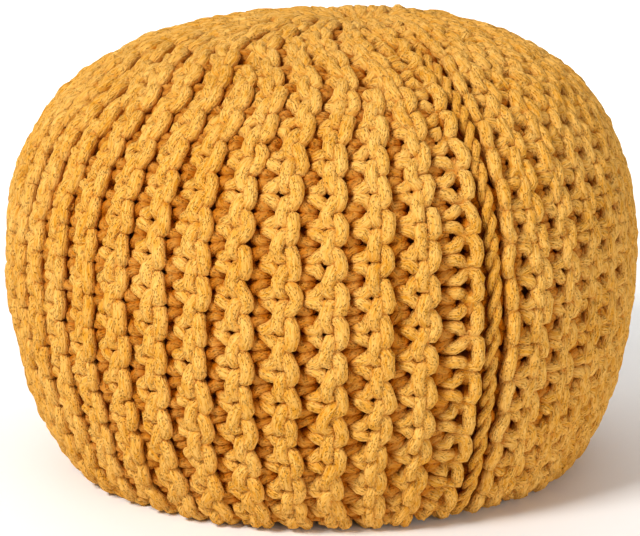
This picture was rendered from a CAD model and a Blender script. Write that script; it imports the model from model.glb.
"""Looks of a knitted pouf: garter stitch cord by cord, the laced seam, the cotton finish and the studio."""

import logging
import math
from dataclasses import dataclass, field
from enum import Enum
from typing import Any, NamedTuple

import bpy
import numpy as np
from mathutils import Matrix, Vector


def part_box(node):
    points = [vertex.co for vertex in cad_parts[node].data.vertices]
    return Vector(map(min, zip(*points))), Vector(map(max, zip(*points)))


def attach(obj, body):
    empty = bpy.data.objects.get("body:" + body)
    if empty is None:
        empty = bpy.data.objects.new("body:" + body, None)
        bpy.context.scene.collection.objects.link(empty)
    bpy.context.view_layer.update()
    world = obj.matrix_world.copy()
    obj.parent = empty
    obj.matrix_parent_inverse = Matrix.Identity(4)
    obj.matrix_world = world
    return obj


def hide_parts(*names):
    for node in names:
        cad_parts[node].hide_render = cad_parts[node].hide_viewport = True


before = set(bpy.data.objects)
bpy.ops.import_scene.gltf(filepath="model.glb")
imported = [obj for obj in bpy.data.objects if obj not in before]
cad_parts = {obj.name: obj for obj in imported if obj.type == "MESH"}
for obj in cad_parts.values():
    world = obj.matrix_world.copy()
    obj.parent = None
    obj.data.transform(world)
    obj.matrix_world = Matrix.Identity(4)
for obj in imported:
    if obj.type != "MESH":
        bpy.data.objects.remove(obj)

log = logging.getLogger("knitted_pouf")

FULL_TURN = 2.0 * math.pi
BAKE_MAP = "OFBake"
CORD_MAP = "cord"
LIFT = "lift"
LEAST_REACH = 0.012  # nearest to the axis that a width is still worked out, in metres
CLOSED_SEAM_REACH = 0.085  # the seam lies closed this near to the axis, and wholly open twice as far out
FACING_STEP = 0.001  # how far out a point is taken to find which way is outward, in metres

Array = np.ndarray


# ---------------------------------------------------------------- shader graph


class Wire:
    """A shader socket that takes part in Python arithmetic."""

    def __init__(self, graph: "ShaderGraph", socket: bpy.types.NodeSocket) -> None:
        """Keep the socket and the graph that it belongs to."""
        self.graph = graph
        self.socket = socket

    def __add__(self, other: "Wire | float") -> "Wire":
        """Sum of two values."""
        return self.graph.math("ADD", self, other)

    __radd__ = __add__

    def __mul__(self, other: "Wire | float") -> "Wire":
        """Product of two values."""
        return self.graph.math("MULTIPLY", self, other)

    __rmul__ = __mul__

    def __rsub__(self, other: "Wire | float") -> "Wire":
        """Another value less this one."""
        return self.graph.math("SUBTRACT", other, self)



class ShaderGraph:
    """The node tree of one material, with short ways to add nodes."""

    def __init__(self, name: str) -> None:
        """Start an empty material.

        Args:
            name: the material's name.
        """
        self.material = bpy.data.materials.new(name)
        self.material.use_nodes = True
        self.tree = self.material.node_tree
        self.tree.nodes.clear()

    def node(self, kind: str, settings: dict[str, Any] | None = None, **values: Any) -> bpy.types.Node:
        """Add a node.

        Args:
            kind: the node's type name, without its ShaderNode prefix.
            settings: the node's own settings, which are made before its sockets are filled.
            values: a value or a Wire for each input, by its name with _ for a space, or in_N for input N.

        Returns:
            The new node.
        """
        made = self.tree.nodes.new("ShaderNode" + kind)
        for key, value in (settings or {}).items():
            setattr(made, key, value)
        for key, value in values.items():
            place = int(key[3:]) if key.startswith("in_") else key.replace("_", " ")
            socket = made.inputs[place]
            if isinstance(value, Wire):
                self.tree.links.new(value.socket, socket)
            else:
                socket.default_value = value
        return made

    def wire(self, node: bpy.types.Node, output: str | int = 0) -> Wire:
        """The named or numbered output of a node."""
        return Wire(self, node.outputs[output])

    def math(self, operation: str, first: Wire | float, second: Wire | float) -> Wire:
        """Add a Math node and give its result."""
        return self.wire(self.node("Math", {"operation": operation}, in_0=first, in_1=second))

    def blend(self, share: Wire | float, first: Any, second: Any) -> Wire:
        """Mix two colours by a share and give the result."""
        made = self.node("Mix", {"data_type": "RGBA"}, in_0=share, in_6=first, in_7=second)
        return self.wire(made, 2)

    def ramp(self, value: Wire, low: float, high: float) -> Wire:
        """Ease a value from 0 at low to 1 at high, which may be the smaller of the two."""
        settings = {"interpolation_type": "SMOOTHSTEP"}
        return self.wire(self.node("MapRange", settings, Value=value, From_Min=low, From_Max=high))

    def stretched(self, vector: Wire, scale: tuple[float, float, float]) -> Wire:
        """Scale a vector along each axis."""
        made = self.node("VectorMath", {"operation": "MULTIPLY"}, in_0=vector, in_1=scale)
        return self.wire(made)


# -------------------------------------------------------------------- finishes


class Shade(Enum):
    """Which cord a finish is for."""

    FACE = "face"
    SEAM = "seam"


@dataclass(frozen=True)
class CottonCord:
    """Soft cotton cord with fine ribs along it, small dark pits, uneven dye and a deeper tone low down."""

    shade: Shade
    light: tuple[float, float, float, float] = (0.900, 0.512, 0.128, 1.0)
    deep: tuple[float, float, float, float] = (0.690, 0.285, 0.016, 1.0)
    shadowed: tuple[float, float, float, float] = (0.440, 0.112, 0.001, 1.0)
    pit: tuple[float, float, float, float] = (0.260, 0.075, 0.002, 1.0)
    dye_share: float = 0.35
    wander_share: float = 0.20
    rib_share: float = 0.50
    pit_share: float = 0.38
    roughness: float = 0.92
    gloss: float = 0.06
    rib_pitch: float = 0.0015
    pit_pitch: float = 0.0018
    bump: float = 0.0016

    def material(self) -> bpy.types.Material:
        """Make the cord's material.

        Returns:
            The material, which reads metres along and around the cord from the cord map.
        """
        graph = ShaderGraph(f"cotton_cord_{self.shade.value}")
        along = graph.wire(graph.node("UVMap", {"uv_map": CORD_MAP}))
        body = graph.wire(graph.node("TexCoord"), "Object")

        wander = graph.wire(graph.node("TexNoise", Vector=along, Scale=160.0, Detail=1.0), "Fac")
        ribs = graph.wire(graph.node(
            "TexNoise",
            Vector=graph.stretched(along, (0.22 / self.rib_pitch, 1.0 / self.rib_pitch, 1.0)),
            Scale=1.0, Detail=2.0, Roughness=0.6, Distortion=0.6,
        ), "Fac")
        cells = graph.wire(graph.node(
            "TexVoronoi", {"feature": "F1"},
            Vector=graph.stretched(along, (1.0 / self.pit_pitch, 1.35 / self.pit_pitch, 1.0)),
            Scale=1.0, Randomness=1.0,
        ), "Distance")
        pits = graph.ramp(cells, 0.40, 0.12)
        lift = graph.wire(graph.node("Attribute", {"attribute_name": LIFT}), "Fac")
        fuzz = graph.wire(graph.node("TexNoise", Vector=body, Scale=1500.0, Detail=2.0), "Fac")
        dye = graph.wire(graph.node("TexNoise", Vector=body, Scale=22.0, Detail=3.0), "Fac")

        tone = (graph.ramp(dye, 0.30, 0.72) * self.dye_share
                + graph.ramp(wander, 0.3, 0.7) * self.wander_share
                + graph.ramp(ribs, 0.40, 0.58) * self.rib_share)
        cotton = graph.blend(tone, self.deep, self.light)
        shaded = graph.blend(graph.ramp(lift, 0.97, 0.42), cotton, self.shadowed)
        colour = graph.blend(pits * self.pit_share, shaded, self.pit)
        height = (1.0 - pits) * 0.7 + ribs * 1.1 + fuzz * 0.4
        bump = graph.node("Bump", Strength=1.0, Distance=self.bump, Height=height)
        shader = graph.node(
            "BsdfPrincipled",
            Base_Color=colour,
            Roughness=self.roughness - 0.08 * fuzz,
            Normal=graph.wire(bump),
        )
        shader.inputs["Specular IOR Level"].default_value = self.gloss
        graph.node("OutputMaterial", Surface=graph.wire(shader))
        return graph.material


@dataclass(frozen=True)
class GroundCloth:
    """The dark inside of the knitting that shows through its gaps."""

    colour: tuple[float, float, float, float] = (0.380, 0.090, 0.003, 1.0)
    lighter: tuple[float, float, float, float] = (0.560, 0.170, 0.006, 1.0)

    def material(self) -> bpy.types.Material:
        """Make the ground's material.

        Returns:
            The material.
        """
        graph = ShaderGraph("ground_cloth")
        body = graph.wire(graph.node("TexCoord"), "Object")
        mottle = graph.wire(graph.node("TexNoise", Vector=body, Scale=180.0, Detail=4.0), "Fac")
        colour = graph.blend(graph.ramp(mottle, 0.3, 0.7), self.colour, self.lighter)
        bump = graph.node("Bump", Strength=0.6, Distance=0.001, Height=mottle)
        shader = graph.node("BsdfPrincipled", Base_Color=colour, Roughness=0.95, Normal=graph.wire(bump))
        graph.node("OutputMaterial", Surface=graph.wire(shader))
        return graph.material


@dataclass(frozen=True)
class StudioPaper:
    """The pale matte paper of the floor and the wall behind."""

    colour: tuple[float, float, float, float] = (0.93, 0.93, 0.925, 1.0)

    def material(self) -> bpy.types.Material:
        """Make the paper's material.

        Returns:
            The material.
        """
        graph = ShaderGraph("studio_paper")
        shader = graph.node("BsdfPrincipled", Base_Color=self.colour, Roughness=0.8)
        graph.node("OutputMaterial", Surface=graph.wire(shader))
        return graph.material


# ------------------------------------------------------------------------ form


@dataclass
class PoufForm:
    """The outer form that the ridges touch, measured from the crown's pole down its outline."""

    half_width: float
    height: float
    widest_share: float = 0.4235
    crown_over: float = 0.0025
    crown_fullness: float = 2.59
    side_fullness: float = 1.65
    foot_share: float = 0.80
    dip: float = 0.013
    dip_reach: float = 0.028
    lean: float = 0.031
    lean_power: float = 1.4
    steps: int = 500

    def __post_init__(self) -> None:
        """Trace the outline once, from the crown's pole to the middle of the foot."""
        self.widest = widest = self.widest_share * self.height
        share = np.sin(np.linspace(0.0, math.pi / 2, self.steps, endpoint=False))
        arch = (1 - share**self.crown_fullness) ** (1 / self.crown_fullness)
        dip = self.dip * np.exp(-((share * self.half_width / self.dip_reach) ** 2))
        crown = widest + (self.height + self.crown_over - widest) * arch - dip
        angle = np.linspace(0.0, math.pi / 2, self.steps, endpoint=False)
        power = 2 / self.side_fullness
        foot = self.foot_share * self.half_width
        side = foot + (self.half_width - foot) * np.cos(angle) ** power
        self.reach = np.concatenate([share * self.half_width, side, np.linspace(foot, 0.0, self.steps)])
        self.level = np.concatenate([crown, widest * (1 - np.sin(angle) ** power), np.zeros(self.steps)])
        run = np.hypot(np.diff(self.reach), np.diff(self.level))
        self.run = np.concatenate([[0.0], np.cumsum(run)])
        out = np.gradient(np.stack([-self.level, self.reach]), axis=1)
        self.outward = out / np.linalg.norm(out, axis=0)

    @property
    def length(self) -> float:
        """Length of the outline from pole to pole."""
        return float(self.run[-1])

    def reach_at(self, run: Array) -> Array:
        """Distance from the axis at places along the outline."""
        return np.interp(run, self.run, self.reach)

    def run_at_reach(self, reach: float, under: bool = False) -> float:
        """Find the place along the outline at a distance from the axis.

        Args:
            reach: the distance from the axis.
            under: whether the place is under the pouf rather than on its crown.

        Returns:
            The place, in metres from the crown's pole.
        """
        if under:
            return float(self.length - reach)
        return float(np.interp(reach, self.reach[: self.steps], self.run[: self.steps]))

    def place(self, run: Array, angle: Array, depth: Array) -> Array:
        """Points at a depth inside the form.

        Args:
            run: places along the outline, in metres from the crown's pole.
            angle: directions round the axis, in radians.
            depth: distances inside the form, in metres.

        Returns:
            The points, one row each.
        """
        reach = self.reach_at(run)
        level = np.interp(run, self.run, self.level)
        out_reach = np.interp(run, self.run, self.outward[0])
        out_level = np.interp(run, self.run, self.outward[1])
        size = np.hypot(out_reach, out_level)
        lean = self.lean * np.maximum(0.0, 1 - reach / self.half_width) ** self.lean_power
        lean = np.where(level > self.widest, lean, 0.0)
        across = reach - depth * out_reach / size
        return np.stack([
            across * np.cos(angle) + lean,
            across * np.sin(angle),
            level - depth * out_level / size,
        ], axis=-1)

    def facing(self, run: Array, angle: Array, depth: Array) -> Array:
        """Outward directions at points inside the form, not brought to one length."""
        return (self.place(run, angle, depth - FACING_STEP) - self.place(run, angle, depth)) / FACING_STEP


# -------------------------------------------------------------------- knitting


def smoothed(value: Array) -> Array:
    """Ease a share from 0 to 1."""
    share = np.clip(value, 0.0, 1.0)
    return share * share * (3 - 2 * share)


def open_seam(reach: Array) -> Array:
    """How far the seam lies open: not at all near a pole, wholly down the side."""
    return smoothed(reach / CLOSED_SEAM_REACH - 1.0)


def through(knots: Array, fine: int) -> Array:
    """Run a smooth curve through knots.

    Args:
        knots: one row of values for each knot.
        fine: how many points to give each span.

    Returns:
        The curve's rows, from the first knot to the last.
    """
    padded = np.vstack([2 * knots[0] - knots[1], knots, 2 * knots[-1] - knots[-2]])
    before, here, after, beyond = padded[:-3], padded[1:-2], padded[2:-1], padded[3:]
    rows = []
    square = 2 * before - 5 * here + 4 * after - beyond
    cube = 3 * here - before - 3 * after + beyond
    for part in range(fine):
        t = part / fine
        rows.append(0.5 * (2 * here + (after - before) * t + square * t**2 + cube * t**3))
    curve = np.stack(rows, axis=1).reshape(-1, knots.shape[1])
    return np.vstack([curve, knots[-1]])


@dataclass
class CordRun:
    """One length of cord: its middle line, its thickness and the way that its face looks."""

    middle: Array
    thickness: Array
    facing: Array
    lift: Array

    @classmethod
    def through_knots(cls, middle: Array, thickness: Array, facing: Array, lift: Array,
                      spacing: float) -> "CordRun":
        """Lay a cord through knots.

        Args:
            middle: the knots' places.
            thickness: the cord's thickness at each knot.
            facing: the way that the cord's face looks at each knot.
            lift: how far out of the cloth each knot lies, from 0 at the bottom to 1 at the crests.
            spacing: distance between the rings of the finished cord.

        Returns:
            The cord, with evenly spaced points.
        """
        fine = through(np.hstack([middle, thickness[:, None], facing, lift[:, None]]), 6)
        run = np.concatenate([[0.0], np.cumsum(np.linalg.norm(np.diff(fine[:, :3], axis=0), axis=1))])
        count = max(4, round(run[-1] / spacing))
        even = np.linspace(0.0, run[-1], count + 1)
        rows = np.stack([np.interp(even, run, column) for column in fine.T], axis=1)
        return cls(rows[:, :3], rows[:, 3], rows[:, 4:7], rows[:, 7])


@dataclass
class CordMesher:
    """Turns lengths of cord into one mesh of tubes, with a map in metres and a flat map for baking."""

    sides: int = 9
    strip_gap: float = 0.08
    floor_gap: float = 0.0002
    side_lift: float = 0.22
    corners: list[Array] = field(default_factory=list)
    segments: list[tuple[int, int]] = field(default_factory=list)
    lengths: list[Array] = field(default_factory=list)
    girths: list[Array] = field(default_factory=list)
    lifts: list[Array] = field(default_factory=list)
    corner_count: int = 0

    def add(self, cord: CordRun) -> None:
        """Wrap a tube round a cord.

        Args:
            cord: the length of cord.
        """
        along = np.gradient(cord.middle, axis=0)
        along /= np.linalg.norm(along, axis=1)[:, None]
        up = cord.facing - np.sum(cord.facing * along, axis=1)[:, None] * along
        up /= np.linalg.norm(up, axis=1)[:, None]
        side = np.cross(along, up)
        turn = np.arange(self.sides) / self.sides * FULL_TURN
        spoke = np.sin(turn)[None, :, None] * side[:, None, :] - np.cos(turn)[None, :, None] * up[:, None, :]
        ring = cord.middle[:, None, :] + spoke * (cord.thickness / 2)[:, None, None]
        ring[..., 2] = np.maximum(ring[..., 2], self.floor_gap)
        run = np.concatenate([[0.0], np.cumsum(np.linalg.norm(np.diff(cord.middle, axis=0), axis=1))])
        self.corners.append(ring.reshape(-1, 3))
        self.lifts.append((cord.lift[:, None] - self.side_lift * np.cos(turn)[None, :]).ravel())
        self.segments.append((self.corner_count, len(cord.middle)))
        self.lengths.append(run)
        self.girths.append(cord.thickness * math.pi)
        self.corner_count += ring.shape[0] * self.sides

    def _quads(self) -> tuple[Array, Array, Array]:
        """List the tubes' faces.

        Returns:
            The faces' corners, each corner's metres along and round its cord, and each corner's ring number
            in one long strip of all the cords with its share of the way round.
        """
        faces, cord_map, cells = [], [], []
        lap = np.arange(self.sides)
        start_cell = 0
        for (first, rings), run, girth in zip(self.segments, self.lengths, self.girths):
            ring = np.arange(rings - 1)[:, None]
            here, ahead = first + ring * self.sides, first + (ring + 1) * self.sides
            nextlap = (lap + 1) % self.sides
            faces.append(np.stack([here + lap, ahead + lap, ahead + nextlap, here + nextlap], axis=-1))
            share = np.stack([lap, lap, lap + 1, lap + 1], axis=-1) / self.sides
            place = np.stack([run[:-1], run[1:], run[1:], run[:-1]], axis=-1)[:, None, :]
            round_about = share[None, :, :] * np.mean(girth)
            cord_map.append(np.stack(np.broadcast_arrays(place, round_about), axis=-1))
            cell = start_cell + ring[:, :, None] + np.array([0, 1, 1, 0])[None, None, :]
            cells.append(np.stack(np.broadcast_arrays(cell, share[None, :, :]), axis=-1))
            start_cell += rings
        quads = np.concatenate([part.reshape(-1, 4) for part in faces])
        return (quads, np.concatenate([part.reshape(-1, 4, 2) for part in cord_map]),
                np.concatenate([part.reshape(-1, 4, 2) for part in cells]))

    def _bake_places(self, cells: Array, spacing: float, girth: float) -> Array:
        """Fold one long strip of tube faces into rows that fill a square.

        Args:
            cells: for each face corner, its ring's number in the strip and its share of the way round.
            spacing: distance between rings.
            girth: distance round the cord.

        Returns:
            A place in the square for each face corner.
        """
        rings = float(cells[..., 0].max()) + 1
        per_row = max(8, math.ceil(math.sqrt(rings * girth / spacing)))
        start = np.floor(cells[..., 0].min(axis=1) / per_row)
        rows = math.ceil(rings / per_row)
        across = (cells[..., 0] - start[:, None] * per_row) / (per_row + 1)
        upward = (start[:, None] + self.strip_gap / 2 + cells[..., 1] * (1 - self.strip_gap)) / rows
        return np.stack([across, upward], axis=-1)

    def build(self, name: str, spacing: float) -> bpy.types.Object:
        """Make the object.

        Args:
            name: the object's name.
            spacing: distance between rings.

        Returns:
            The object, linked to the scene.
        """
        quads, cord_map, cells = self._quads()
        baked = self._bake_places(cells, spacing, float(np.mean(self.girths[0])))
        caps, cap_loops = [], 0
        for first, rings in self.segments:
            last = first + (rings - 1) * self.sides
            caps.append([first + lap for lap in range(self.sides)])
            caps.append([last + lap for lap in reversed(range(self.sides))])
            cap_loops += 2 * self.sides
        mesh = bpy.data.meshes.new(name)
        mesh.from_pydata(np.concatenate(self.corners).tolist(), [], quads.tolist() + caps)
        blank = np.zeros((cap_loops, 2))
        for label, places in ((BAKE_MAP, baked), (CORD_MAP, cord_map)):
            layer = mesh.uv_layers.new(name=label)
            flat = np.vstack([places.reshape(-1, 2), blank]).astype(np.float32)
            layer.data.foreach_set("uv", flat.ravel())
        lift = mesh.attributes.new(LIFT, "FLOAT", "POINT")
        lift.data.foreach_set("value", np.concatenate(self.lifts).astype(np.float32))
        mesh.shade_smooth()
        obj = bpy.data.objects.new(name, mesh)
        bpy.context.scene.collection.objects.link(obj)
        return obj


class LegPoint(NamedTuple):
    """A point on a stitch's leg between the middle of its row and its head."""

    along: float  # shares of the stitch pitch from the head's middle
    beyond: float  # shares of the bead offset past the junction of two rows
    below: float  # cord thicknesses under the crest
    fullness: float  # share of the cord's full thickness


@dataclass
class GarterStitch:
    """The path of one garter stitch, laid out on the way from the valley behind it to the ridge ahead."""

    pitch: float = 0.0245
    row: float = 0.01635
    thickness: float = 0.0098
    crest: float = 0.0052
    leg_lift: float = 0.0019
    bead_offset: float = 0.0048
    head_lean: float = -0.05
    sinker_lean: float = 0.15
    leg: tuple[LegPoint, ...] = (
        LegPoint(0.375, -0.95, 0.70, 0.95),
        LegPoint(0.375, 0.00, 0.42, 0.94),
        LegPoint(0.310, 0.80, 0.08, 1.00),
        LegPoint(0.000, 1.00, 0.00, 1.00),
    )

    def template(self, gather: float = 1.0) -> Array:
        """The stitch's knots in order, starting at the middle of its sinker.

        Args:
            gather: how far the loop draws in at its base, as a share of a stitch within the cloth.

        Returns:
            Rows of: place along in pitches from the head, side (-1 at the sinker's junction, 1 at the
            head's), bead offsets past that junction, metres above the cloth's middle, and fullness.
        """
        head_side, sinker_side = [], []
        for p in self.leg:
            level = self.crest - p.below * self.thickness
            lift = self.leg_lift if p.beyond < 0 else 0.0
            head_side.append((-p.along, 1.0, p.beyond, level + lift, p.fullness))
            sinker_side.append((-0.5 + p.along * gather, -1.0, -p.beyond, lift - level, p.fullness))
        rising = sinker_side[::-1] + [(-0.25, 0.0, 0.0, self.leg_lift, 0.94)] + head_side
        falling = [(-along, *rest) for along, *rest in rising[-2:0:-1]]
        return np.array(rising + falling)


@dataclass
class RidgeLayout:
    """Where each ridge of the strip runs on the form, and how far up and down it reaches."""

    form: PoufForm
    seam: float = math.radians(-61)
    slots: int = 48
    seam_widths: tuple[float, float] = (0.74, 1.10)
    last_middle: float = 0.61
    pole_reach: float = 0.022
    short_reaches: tuple[float, float, float, float] = (0.022, 0.150, 0.066, 0.122)
    reach_spread: float = 0.020
    blend_in: float = 0.026
    blend_out: float = 0.072
    wander: float = 0.0008
    grid_places: int = 721
    seed: int = 11

    def __post_init__(self) -> None:
        """Work out the edges of every ridge at a row of places along the outline."""
        rng = np.random.default_rng(self.seed)
        self.grid = np.linspace(0.0, self.form.length, self.grid_places)
        self.starts = np.empty(self.slots)
        self.ends = np.empty(self.slots)
        shares = np.empty((self.slots, len(self.grid)))
        blend = self.blend_in + self.blend_out
        for slot in range(self.slots):
            reach = self.short_reaches[slot % 4]
            beside_seam = slot in (0, self.slots - 1)
            if beside_seam:
                reach = self.pole_reach
            if reach > self.pole_reach:
                reach += rng.uniform(-self.reach_spread, self.reach_spread)
            self.starts[slot] = self.form.run_at_reach(reach)
            self.ends[slot] = self.form.run_at_reach(reach, under=True)
            width = 1.0
            if beside_seam:
                width = self.seam_widths[slot > 0]
            opening = smoothed((self.grid - self.starts[slot] + self.blend_in) / blend)
            closing = smoothed((self.ends[slot] - self.grid + self.blend_in) / blend)
            if reach <= self.pole_reach:
                opening = closing = 1.0
            shares[slot] = width * opening * closing
        edges = np.vstack([np.zeros(len(self.grid)), np.cumsum(shares, axis=0)])
        self.edges = self.seam + edges / edges[-1] * FULL_TURN
        self.waves = rng.uniform(0.0, FULL_TURN, (2 * self.slots + 1, 3))

    def line(self, place: float, run: Array) -> Array:
        """Direction of a line of the strip.

        Args:
            place: a whole number for a valley, a half more for a ridge's middle, counted from the seam.
            run: places along the outline.

        Returns:
            The line's direction round the axis at each place.
        """
        below, above = math.floor(place), math.ceil(place)
        share = self.last_middle if place == self.slots - 0.5 else 0.5
        angle = ((1 - share) * np.interp(run, self.grid, self.edges[below])
                 + share * np.interp(run, self.grid, self.edges[above]))
        waves = self.waves[round(2 * place)]
        sway = sum(np.sin(run * rate + wave) for rate, wave in zip((21.0, 47.0, 90.0), waves)) / 1.7
        return angle + self.wander * sway / np.maximum(self.form.reach_at(run), 0.02)


@dataclass
class KnittedCover:
    """The garter-stitch strip, knitted cord by cord in upright rows and split into panels."""

    form: PoufForm
    layout: RidgeLayout
    stitch: GarterStitch = field(default_factory=GarterStitch)
    panels: int = 6
    spacing: float = 0.0042
    sides: int = 9
    slip: tuple[float, float, float] = (0.0035, 0.0022, 0.0010)
    uneven: float = 0.0007
    uneven_level: float = 0.0006
    uneven_lean: float = 0.10
    uneven_knot_thickness: float = 0.025
    uneven_loop_thickness: float = 0.035
    lumps: float = 0.0012
    proud: float = 0.0010
    pole_gap: float = 0.004
    squeeze_limits: tuple[float, float] = (0.35, 1.15)
    squeezed_offset: float = 0.40
    seam_sunk: float = 0.0045
    edge_gather: float = 0.84
    seed: int = 5

    @property
    def top_level(self) -> float:
        """Height of the crests' outer surface over the middle of the cloth."""
        return self.stitch.crest + self.stitch.thickness / 2

    def _drift(self, run: Array, angle: Array) -> Array:
        """Find how far the stitches have slipped along their rows, which changes slowly over the cover.

        Args:
            run: places along the outline.
            angle: directions round the axis.

        Returns:
            The slip at each place, in metres.
        """
        wide, middling, short = self.slip
        sway = wide * np.sin(angle * 2 + 0.7) + middling * np.sin(angle * 5 + run * 9)
        return sway + short * np.sin(run * 31)

    def _row(self, valley: float, ridge: float, start: float, end: float, rng: np.random.Generator,
             sunk: float = 0.0) -> CordRun:
        """Lay one row of stitches.

        Args:
            valley: the valley line beside the row.
            ridge: the ridge line on the row's other side.
            start: place along the outline where the row starts.
            end: place along the outline where it ends.
            rng: source of the row's unevenness.
            sunk: how much deeper than the others the row lies.

        Returns:
            The row's cord.
        """
        stitch = self.stitch
        rising = ridge > valley
        seam_loops = rising and ridge == self.layout.slots - 0.5
        template = stitch.template(self.edge_gather if seam_loops else 1.0)
        first = math.ceil(start / stitch.pitch)
        last = math.floor(end / stitch.pitch)
        count = last - first + 1
        along = (np.arange(first, last + 1)[:, None] + template[None, :, 0]).ravel() * stitch.pitch
        side, beyond, level, fullness = (np.tile(column, count) for column in template.T[1:])
        if not rising:
            level = -level
        knot_noise = rng.normal(0.0, 1.0, (len(along), 3))
        loop_noise = np.repeat(rng.normal(0.0, 1.0, (count, 3)), len(template), axis=0)

        # The row lies between two lines of the strip, and narrows where they draw together.
        base_line, top_line = (self.layout.line(place, along) for place in sorted((valley, ridge)))
        reach = np.maximum(self.form.reach_at(along), LEAST_REACH)
        offset = stitch.bead_offset
        narrowing = np.clip((top_line - base_line) * reach / (0.5 * stitch.row), 0.3, 1.0)
        if ridge == 0.5 and not rising:
            base_line = base_line + narrowing * offset / reach
        if seam_loops:
            top_line = top_line - narrowing * offset / reach
        half = (top_line - base_line) / 2
        squeeze = np.clip(2 * half * reach / stitch.row, *self.squeeze_limits)
        offset = offset * (self.squeezed_offset + (1 - self.squeezed_offset) * squeeze)
        sideways = (side * half * reach + beyond * offset + knot_noise[:, 0] * self.uneven
                    + loop_noise[:, 0] * 0.8 * self.uneven)

        # Each bead leans about its own middle.
        stitches = along / stitch.pitch
        centre = stitch.pitch * np.where(side > 0, np.round(stitches), np.floor(stitches) + 0.5)
        lean = (stitch.head_lean if rising else stitch.sinker_lean) + self.uneven_lean * loop_noise[:, 1]
        sideways -= np.where(np.abs(beyond) > 0.5, lean * (along - centre), 0.0)
        angle = (base_line + top_line) / 2 + sideways / reach
        run = along + self._drift(along, angle) + knot_noise[:, 1] * self.uneven

        sinking = sunk * open_seam(reach)
        lumps = self.lumps * (1 + np.sin(angle * 7 + run * 23) * np.sin(run * 37 + angle * 3))
        depth = self.top_level - level + sinking + lumps - self.proud + knot_noise[:, 2] * self.uneven_level
        depth[0] = depth[-1] = 2 * self.top_level
        run = np.clip(run, self.pole_gap, self.form.length - self.pole_gap)
        middle = self.form.place(run, angle, depth)
        across = (self.form.place(run, angle + FACING_STEP / reach, depth) - middle) / FACING_STEP
        facing = 0.8 * self.form.facing(run, angle, depth) + (-0.6 if rising else 0.6) * across
        thickness = stitch.thickness * fullness * (
            1 + rng.normal(0.0, self.uneven_knot_thickness, len(along))
            + self.uneven_loop_thickness * loop_noise[:, 2])
        lift = 0.5 + 0.5 * (level - sinking) / stitch.crest
        return CordRun.through_knots(middle, thickness, facing, lift, self.spacing)

    def build(self, finish: bpy.types.Material) -> list[bpy.types.Object]:
        """Knit every row and dress it.

        Args:
            finish: the cord's material.

        Returns:
            One object for each panel.
        """
        rng = np.random.default_rng(self.seed)
        made = []
        per_panel = self.layout.slots // self.panels
        for panel in range(self.panels):
            mesher = CordMesher(sides=self.sides)
            for slot in range(panel * per_panel, (panel + 1) * per_panel):
                limits = self.layout.starts[slot], self.layout.ends[slot]
                before = self.seam_sunk if slot == 0 else 0.0
                after = self.seam_sunk if slot == self.layout.slots - 1 else 0.0
                mesher.add(self._row(slot, slot + 0.5, *limits, rng, before))
                mesher.add(self._row(slot + 1, slot + 0.5, *limits, rng, after))
            obj = mesher.build(f"knit_panel_{panel + 1}", self.spacing)
            obj.data.materials.append(finish)
            made.append(obj)
        return made


@dataclass
class GroundLayer:
    """The dark inner side of the cover, a closed form under the knitting."""

    form: PoufForm
    depth: float
    columns: int = 120
    rings: int = 56

    def build(self, finish: bpy.types.Material) -> bpy.types.Object:
        """Make the layer and dress it.

        Args:
            finish: its material.

        Returns:
            The object.
        """
        run = np.linspace(0.0, self.form.length, self.rings + 2)[1:-1]
        angle = np.arange(self.columns) / self.columns * FULL_TURN
        grid_run, grid_angle = np.meshgrid(run, angle, indexing="ij")
        depth = np.minimum(self.depth, 0.9 * self.form.reach_at(grid_run) + LEAST_REACH)
        corners = self.form.place(grid_run.ravel(), grid_angle.ravel(), depth.ravel())
        ring = np.arange(self.rings - 1)[:, None] * self.columns
        lap = np.arange(self.columns)
        nextlap = (lap + 1) % self.columns
        below = ring + self.columns
        faces = np.stack([ring + lap, below + lap, below + nextlap, ring + nextlap], axis=-1)
        top = list(range(self.columns))
        bottom = [(self.rings - 1) * self.columns + place for place in reversed(range(self.columns))]
        mesh = bpy.data.meshes.new("ground_layer")
        mesh.from_pydata(corners.tolist(), [], faces.reshape(-1, 4).tolist() + [top, bottom])
        mesh.shade_smooth()
        mesh.materials.append(finish)
        obj = bpy.data.objects.new("ground_layer", mesh)
        bpy.context.scene.collection.objects.link(obj)
        return obj


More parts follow.
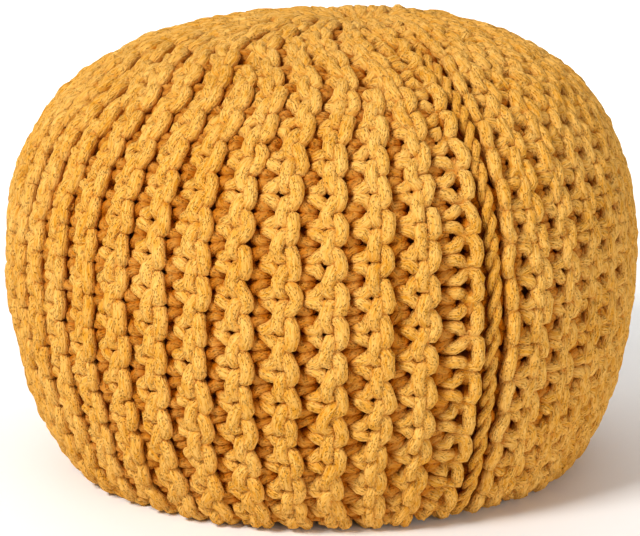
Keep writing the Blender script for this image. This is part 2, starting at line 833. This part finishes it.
@dataclass
class SeamLacing:
    """Two strands wound round each other, which lace the strip's two ends together."""

    form: PoufForm
    layout: RidgeLayout
    depth: float = 0.0078
    tuck: float = 0.0070
    strand: float = 0.0060
    winding: float = 0.0023
    lay: float = 0.034
    flattening: float = 1.25
    uneven: float = 0.0003
    start_reach: float = 0.026
    past_foot: float = 0.040
    knot_spacing: float = 0.004
    spacing: float = 0.0030
    seed: int = 3

    def build(self, finish: bpy.types.Material) -> bpy.types.Object:
        """Lay the strands along the seam and dress them.

        Args:
            finish: the cord's material.

        Returns:
            The object.
        """
        rng = np.random.default_rng(self.seed)
        foot = self.form.foot_share * self.form.half_width
        start = self.form.run_at_reach(self.start_reach)
        end = self.form.run_at_reach(foot, under=True) + self.past_foot
        run = np.arange(start, end, self.knot_spacing)
        line = self.layout.line(0, run)
        reach = np.maximum(self.form.reach_at(run), LEAST_REACH)
        mesher = CordMesher()
        for strand in range(2):
            wind = run / self.lay * FULL_TURN + strand * math.pi + 0.5 * np.sin(run * 60)
            sideways = self.winding * self.flattening * np.cos(wind) + rng.normal(0, self.uneven, len(run))
            angle = line + sideways / reach
            depth = self.depth - self.winding * np.sin(wind) + self.tuck * (1 - open_seam(reach))
            middle = self.form.place(run, angle, depth)
            facing = self.form.facing(run, angle, depth)
            thickness = np.full(len(run), self.strand)
            lift = 0.76 + 0.14 * np.sin(wind)
            mesher.add(CordRun.through_knots(middle, thickness, facing, lift, self.spacing))
        obj = mesher.build("seam_lacing", self.spacing)
        obj.data.materials.append(finish)
        return obj


@dataclass
class DrawnCrown:
    """The cord that is drawn round at a pole, where the longest rows meet."""

    form: PoufForm
    outer: float = 0.021
    inner: float = 0.005
    turns: float = 2.6
    knots: int = 60
    depth: float = 0.010
    sunk_outer: float = 0.002
    ripple: float = 0.0012
    thickness: float = 0.0082
    lift: float = 0.6
    spacing: float = 0.0030

    def build(self, name: str, under: bool, finish: bpy.types.Material) -> bpy.types.Object:
        """Wind the cord and dress it.

        Args:
            name: the object's name.
            under: whether it closes the underside rather than the crown.
            finish: the cord's material.

        Returns:
            The object.
        """
        share = np.linspace(0.0, 1.0, self.knots)
        reach = self.outer + (self.inner - self.outer) * share
        angle = share * self.turns * FULL_TURN
        run = np.array([self.form.run_at_reach(value, under) for value in reach])
        depth = self.depth + self.ripple * np.sin(angle * 5) + self.sunk_outer * (1 - share)
        middle = self.form.place(run, angle, depth)
        facing = self.form.facing(run, angle, depth)
        mesher = CordMesher()
        thickness = np.full(self.knots, self.thickness)
        lift = np.full(self.knots, self.lift)
        mesher.add(CordRun.through_knots(middle, thickness, facing, lift, self.spacing))
        obj = mesher.build(name, self.spacing)
        obj.data.materials.append(finish)
        return obj


# ---------------------------------------------------------------------- studio


@dataclass
class Studio:
    """The pale floor and wall, the soft lights and the camera."""

    centre: Vector
    size: float
    distance: float = 1.4423
    elevation: float = math.radians(13.23)
    lens: float = 101.25
    sensor: float = 36.0
    shift: tuple[float, float] = (-0.0029, -0.0053)
    floor_half: float = 8.0
    wall_back: float = 4.0
    bend: float = 1.5
    bend_steps: int = 12
    wash_power: float = 260.0
    glow: float = 0.22

    def build_paper(self, finish: bpy.types.Material) -> bpy.types.Object:
        """Lay the paper over the floor and up the wall in one sweep.

        Args:
            finish: the paper's material.

        Returns:
            The object.
        """
        outline = [(-self.floor_half, 0.0), (self.wall_back, 0.0)]
        for step in range(1, self.bend_steps + 1):
            angle = math.pi / 2 * step / self.bend_steps
            outline.append((self.wall_back + self.bend * math.sin(angle), self.bend * (1 - math.cos(angle))))
        outline.append((self.wall_back + self.bend, self.floor_half))
        corners = [(x, y, z) for y, z in outline for x in (-self.floor_half, self.floor_half)]
        faces = [(2 * k, 2 * k + 1, 2 * k + 3, 2 * k + 2) for k in range(len(outline) - 1)]
        mesh = bpy.data.meshes.new("studio_paper")
        mesh.from_pydata(corners, [], faces)
        mesh.shade_smooth()
        mesh.materials.append(finish)
        obj = bpy.data.objects.new("studio_paper", mesh)
        bpy.context.scene.collection.objects.link(obj)
        return obj

    def lamp(self, name: str, place: tuple[float, float, float], power: float, size: float,
             colour: tuple[float, float, float]) -> None:
        """Hang a square soft light that looks at the pouf.

        Args:
            name: the light's name.
            place: its place, in widths of the pouf from its centre.
            power: its power in watts.
            size: its width in metres.
            colour: its colour.
        """
        data = bpy.data.lights.new(name, "AREA")
        data.energy = power
        data.size = size
        data.color = colour
        obj = bpy.data.objects.new(name, data)
        obj.location = self.centre + Vector(place) * self.size
        obj.rotation_euler = (self.centre - obj.location).to_track_quat("-Z", "Y").to_euler()
        bpy.context.scene.collection.objects.link(obj)

    def wash(self) -> None:
        """Light the wall behind the pouf, so that it reads as white."""
        data = bpy.data.lights.new("wash", "AREA")
        data.energy = self.wash_power
        data.shape = "RECTANGLE"
        data.size = 6.0
        data.size_y = 1.6
        obj = bpy.data.objects.new("wash", data)
        obj.location = (0.0, 1.6, 3.0)
        obj.rotation_euler = Vector((0.0, 3.0, -2.0)).to_track_quat("-Z", "Y").to_euler()
        bpy.context.scene.collection.objects.link(obj)

    def light(self) -> None:
        """Hang the lights and set the room's glow."""
        self.lamp("key", (-2.4, -2.6, 2.8), 51.0, 0.6, (1.0, 0.99, 0.97))
        self.lamp("fill", (2.6, -3.2, 0.2), 22.0, 1.2, (1.0, 0.98, 0.95))
        self.lamp("top", (0.4, 0.4, 3.6), 4.0, 1.6, (1.0, 1.0, 1.0))
        self.wash()
        world = bpy.data.worlds.new("room")
        world.use_nodes = True
        room = world.node_tree.nodes["Background"]
        room.inputs["Color"].default_value = (1.0, 0.99, 0.97, 1.0)
        room.inputs["Strength"].default_value = self.glow
        bpy.context.scene.world = world
        bpy.context.scene.view_settings.view_transform = "Standard"

    def camera(self, widest: float) -> None:
        """Place the camera.

        Args:
            widest: height of the pouf's widest level.
        """
        data = bpy.data.cameras.new("camera")
        data.lens = self.lens
        data.sensor_width = self.sensor
        data.shift_x, data.shift_y = self.shift
        obj = bpy.data.objects.new("camera", data)
        target = Vector((self.centre.x, self.centre.y, widest))
        away = Vector((0.0, -math.cos(self.elevation), math.sin(self.elevation)))
        obj.location = target + away * self.distance
        obj.rotation_euler = (-away).to_track_quat("-Z", "Y").to_euler()
        bpy.context.scene.collection.objects.link(obj)
        bpy.context.scene.camera = obj


# ------------------------------------------------------------------------ main


def corners(box: tuple[Vector, Vector]) -> list[list[float]]:
    """A box's two corners as plain lists."""
    return [list(corner) for corner in box]


def main() -> None:
    """Build the pouf's looks and the studio."""
    logging.basicConfig(level=logging.INFO, format="%(name)s: %(message)s")
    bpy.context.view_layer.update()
    low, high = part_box("knit_cover")
    form = PoufForm(half_width=(high.x - low.x) / 2, height=high.z - low.z)

    studio = Studio(centre=(low + high) / 2, size=high.x - low.x)
    studio.camera(form.widest)
    studio.build_paper(StudioPaper().material())
    studio.light()

    layout = RidgeLayout(form)
    cover = KnittedCover(form, layout)
    panels = cover.build(CottonCord(Shade.FACE).material())
    ground = GroundLayer(form, depth=1.75 * cover.top_level).build(GroundCloth().material())
    for piece in [*panels, ground]:
        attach(piece, "root")
        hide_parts("knit_cover")
        log.info("%s: %d faces", piece.name, len(piece.data.polygons))

    seam_finish = CottonCord(Shade.SEAM, light=(0.820, 0.430, 0.090, 1.0)).material()
    lacing = SeamLacing(form, layout).build(seam_finish)
    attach(lacing, "root")
    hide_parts("seam_cord")
    crown = DrawnCrown(form).build("drawn_crown", False, seam_finish)
    drawn_foot = DrawnCrown(form).build("drawn_foot", True, seam_finish)
    for piece in (crown, drawn_foot):
        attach(piece, "root")
        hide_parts("knit_cover")
    for piece in (lacing, crown, drawn_foot):
        log.info("%s: %d faces", piece.name, len(piece.data.polygons))


if __name__ == "__main__":
    main()
